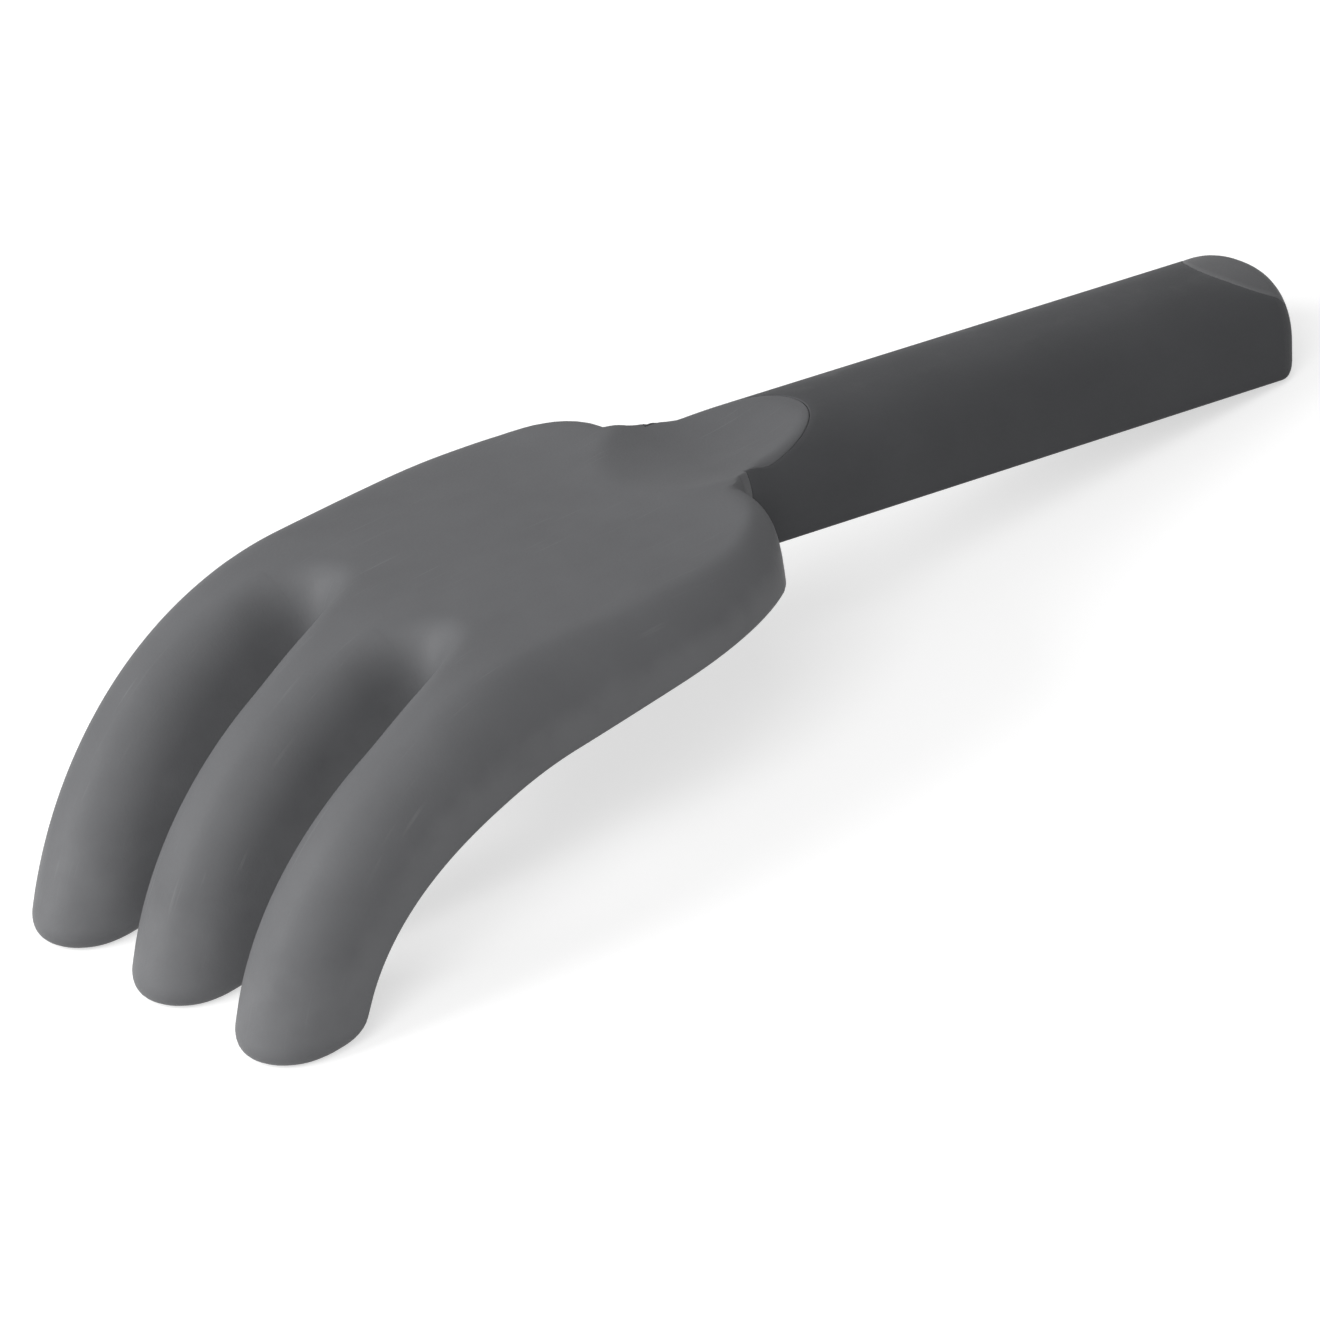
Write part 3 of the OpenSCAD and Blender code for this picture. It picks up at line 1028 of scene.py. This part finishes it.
# %% [markdown]
# ## The head's plastic
# The head is grey plastic from a spark-eroded mould: dull, with a grain of a few tenths of a
# millimetre. The colour drifts a little where the melt flowed, fine scratches run along the tines, and
# the tips and edges are rubbed paler and smoother by sand.

# %% Reading a piece's patterns
def started(name):
    material = bpy.data.materials.new(name)
    material.use_nodes = True
    material.node_tree.nodes.clear()
    tree = Wire(material.node_tree)
    return material, tree


def read(tree, attribute, output):
    return tree.node("ShaderNodeAttribute", {"attribute_name": attribute}, {}, output)


def finished(tree, colour, roughness, height, bump, gloss):
    normal = height.node(
        "ShaderNodeBump", {}, {"Strength": bump["strength"], "Distance": bump["distance"], "Height": height}
    )
    shader = tree.node(
        "ShaderNodeBsdfPrincipled",
        {},
        {"Base Color": colour, "Roughness": roughness, "Normal": normal, "Specular IOR Level": gloss},
    )
    tree.node("ShaderNodeOutputMaterial", {}, {"Surface": shader})

# %% Head plastic
Tones = namedtuple("Tones", "dark pale rubbed")
broad_detail = 4
middle_detail = 3
fine_detail = 2
fine_roughness = 0.6
flow_scale = 42
scuff_scale = 71.4
patch_scale = 160
grain_scale = 2100
scratch_along = 45
scratch_aside = 1500
line_scale = 1
scratch_step = (0.6, 0.74)
scuff_step = (0.42, 0.66)
wear_step = (0.45, 1.05)
flow_share = 0.7
patch_share = 0.3
rub_wear_share = 0.75
patch_wear_share = 0.5
scratch_pale_share = 0.34
wear_pale_share = 0.3
plastic_roughness = 0.56
grain_roughness = 0.12
wear_polish = 0.1
scratch_polish = 0.06
scratch_depth_share = 0.6
plastic_bump = {"strength": 0.26, "distance": 0.12 * MM}
plastic_gloss = 0.3


def plastic(name, tones):
    material, tree = started(name)
    place = tree.node("ShaderNodeTexCoord", {}, {}, "Object")
    lay = read(tree, "lay", "Vector")
    rub = read(tree, "rub", "Fac")
    flow = noise(place, flow_scale, broad_detail)
    patch = noise(place, patch_scale, middle_detail)
    grain = noise(place, grain_scale, fine_detail, fine_roughness)
    lines = noise(stretched(lay, scratch_along, scratch_aside), line_scale, middle_detail)
    scuffed = rising(noise(place, scuff_scale, fine_detail), *scuff_step)
    scratch = rising(lines, *scratch_step) * scuffed
    wear = rising(rub * rub_wear_share + patch * patch_wear_share, *wear_step)
    colour = tinted(flow * flow_share + patch * patch_share, tones.dark, tones.pale)
    colour = tinted(scratch * scratch_pale_share + wear * wear_pale_share, colour, tones.rubbed)
    roughness = plastic_roughness + grain_roughness * grain - wear_polish * wear - scratch_polish * scratch
    height = grain - scratch_depth_share * scratch
    finished(tree, colour, roughness, height, plastic_bump, plastic_gloss)
    return material


head_tones = Tones(grey(0.1, 0.06), grey(0.146, 0.06), grey(0.2, 0.04))
# The plug's tones, as pale as the head's and well above the sleeve's, are partly a painted highlight for the
# lit top of the handle's rounded end.
plug_tones_with_painted_highlight = Tones(grey(0.108, 0.05), grey(0.128, 0.05), grey(0.17, 0.04))
head_plastic = plastic("head_plastic_finish", head_tones)
plug_plastic = plastic("plug_plastic_finish", plug_tones_with_painted_highlight)
print("finishes", head_plastic.name, plug_plastic.name)

# %% [markdown]
# ## The sleeve's rubber
# The sleeve is soft and darker than the head, with a faint blue cast; part of that darker tone is painted
# shade, standing for the handle's crown sloping away from the lamps. Hands leave it mottled: some spots
# are a little polished and some a little greyer with dust. Its edges at the seams are rubbed paler.

# %% Sleeve rubber
cloud_scale = 55
blot_scale = 210
pore_scale = 2800
blot_step = (0.5, 0.72)
blot_dark_share = 0.4
rub_dust_share = 0.2
blot_dust_share = 0.05
rubber_roughness = 0.62
pore_roughness = 0.1
blot_polish = 0.08
rubber_bump = {"strength": 0.28, "distance": 0.1 * MM}
rubber_gloss = 0.25


def rubber(name, tones):
    material, tree = started(name)
    place = tree.node("ShaderNodeTexCoord", {}, {}, "Object")
    rub = read(tree, "rub", "Fac")
    cloud = noise(place, cloud_scale, broad_detail)
    blot = rising(noise(place, blot_scale, middle_detail), *blot_step)
    pores = noise(place, pore_scale, fine_detail, fine_roughness)
    colour = tinted(cloud, tones.dark, tones.pale)
    colour = tinted(blot * blot_dark_share, colour, tones.dark)
    colour = tinted(rub * rub_dust_share + cloud * blot * blot_dust_share, colour, tones.rubbed)
    roughness = rubber_roughness + pore_roughness * pores - blot_polish * blot
    finished(tree, colour, roughness, pores, rubber_bump, rubber_gloss)
    return material


# These tones are partly painted shade: they are as dark as the handle's side and crown look in shade, well
# below the head's.
grip_tones_with_painted_shade = Tones(grey(0.054, 0.08), grey(0.082, 0.08), grey(0.1, 0.05))
grip_rubber = rubber("grip_rubber_finish", grip_tones_with_painted_shade)
print("finish", grip_rubber.name)

# %% [markdown]
# ## Dressing the pieces
# Every piece rides on the rake's one body, stands in for the solid it was drawn from, and gets its finish.

# %% Riding and finishes
def dressed(piece, material, node):
    piece.data.materials.append(material)
    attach(piece, "root")
    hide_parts(node)
    print("dressed", piece.name, "in place of", node)


dressed(head, head_plastic, "rake_head")
dressed(sleeve, grip_rubber, "grip_sleeve")
dressed(plug, plug_plastic, "end_plug")

# %% [markdown]
# ## Camera
# The photograph looks down at the rake from one side and a little from the tips' end, with a long lens
# and the camera rolled a little, so that the handle points up to the right.

# %% Camera
turn_angle = math.radians(-30.702)
rise_angle = math.radians(30.228)
roll_angle = math.radians(-14.209)
camera_distance = 1446.15 * MM
looked_at = Vector((-11.72, 0, 6.47)) * MM
sensor_mm = 36
focal_share = 6.9143


def add_camera():
    back = Vector((
        math.sin(turn_angle) * math.cos(rise_angle),
        -math.cos(turn_angle) * math.cos(rise_angle),
        math.sin(rise_angle),
    ))
    right = Vector((math.cos(turn_angle), math.sin(turn_angle), 0))
    up = back.cross(right)
    rolled_right = right * math.cos(roll_angle) + up * math.sin(roll_angle)
    rolled_up = up * math.cos(roll_angle) - right * math.sin(roll_angle)
    lens = bpy.data.cameras.new("camera")
    lens.sensor_width = sensor_mm
    lens.lens = sensor_mm * focal_share
    camera = bpy.data.objects.new("camera", lens)
    turn = Matrix((rolled_right, rolled_up, back)).transposed()
    camera.matrix_world = Matrix.Translation(looked_at + back * camera_distance) @ turn.to_4x4()
    bpy.context.scene.collection.objects.link(camera)
    bpy.context.scene.camera = camera
    return camera


camera = add_camera()
print("camera at", [round(c, 3) for c in camera.location])

# %% [markdown]
# ## Floor and light
# The rake was photographed on white. A pale floor takes its soft shadow, and the camera sees the floor
# lifted to white by a little glow that lights nothing else. One large lamp on the left, beyond the
# tips, does the modelling. A wider one in front and above opens up the slots, and an even grey sky
# fills in.

# %% Seen directly
seen_rays = ("Is Camera Ray", "Is Glossy Ray", "Is Transmission Ray")


def seen_directly(tree):
    """One for what the camera sees, also mirrored or through glass, and none for light on things."""
    direct, mirrored, through = [tree.node("ShaderNodeLightPath", {}, {}, name) for name in seen_rays]
    return direct.maths("MAXIMUM", direct.maths("MAXIMUM", direct, mirrored), through)

# %% Floor
floor_half = 3
floor_drop = 0.05 * MM
floor_tone = grey(0.6)
floor_glow = 0.62


def add_floor():
    mesh = bpy.data.meshes.new("floor")
    ends = (-floor_half, floor_half)
    mesh.from_pydata([(x, y, -floor_drop) for x in ends for y in ends], [], [(0, 2, 3, 1)])
    floor = bpy.data.objects.new("floor", mesh)
    bpy.context.scene.collection.objects.link(floor)
    material, tree = started("floor_paint")
    paint = tree.node("ShaderNodeBsdfDiffuse", {}, {"Color": floor_tone})
    glow = tree.node("ShaderNodeEmission", {}, {"Strength": seen_directly(tree) * floor_glow})
    both = tree.node("ShaderNodeAddShader", {}, {0: paint, 1: glow})
    tree.node("ShaderNodeOutputMaterial", {}, {"Surface": both})
    mesh.materials.append(material)
    return floor


floor = add_floor()
print("floor", floor.name, "reaches", floor_half, "m to each side")

# %% Sky
sky_light = 0.38


def add_sky():
    world = bpy.data.worlds.new("sky")
    world.use_nodes = True
    world.node_tree.nodes.clear()
    tree = Wire(world.node_tree)
    seen = seen_directly(tree)
    strength = sky_light + seen * (1 - sky_light)
    sky = tree.node("ShaderNodeBackground", {}, {"Strength": strength})
    tree.node("ShaderNodeOutputWorld", {}, {"Surface": sky})
    bpy.context.scene.world = world


add_sky()
print("sky light", sky_light)

# %% Lamps
Lamp = namedtuple("Lamp", "name place size watts")
key_place = Vector((-1.0, 0.6, 0.7))
key_size = 0.8
key_watts = 13.6
fill_place = Vector((-0.7, -0.7, 1.1))
fill_size = 1.0
fill_watts = 9
lamps = [
    Lamp("key_lamp", key_place, key_size, key_watts),
    Lamp("fill_lamp", fill_place, fill_size, fill_watts),
]


def add_lamp(lamp):
    light = bpy.data.lights.new(lamp.name, "AREA")
    light.size = lamp.size
    light.energy = lamp.watts
    holder = bpy.data.objects.new(lamp.name, light)
    holder.location = lamp.place
    holder.rotation_euler = (looked_at - lamp.place).to_track_quat("-Z", "Y").to_euler()
    bpy.context.scene.collection.objects.link(holder)


for lamp in lamps:
    add_lamp(lamp)
bpy.context.scene.view_settings.view_transform = "Standard"
print("lamps", [lamp.name for lamp in lamps])
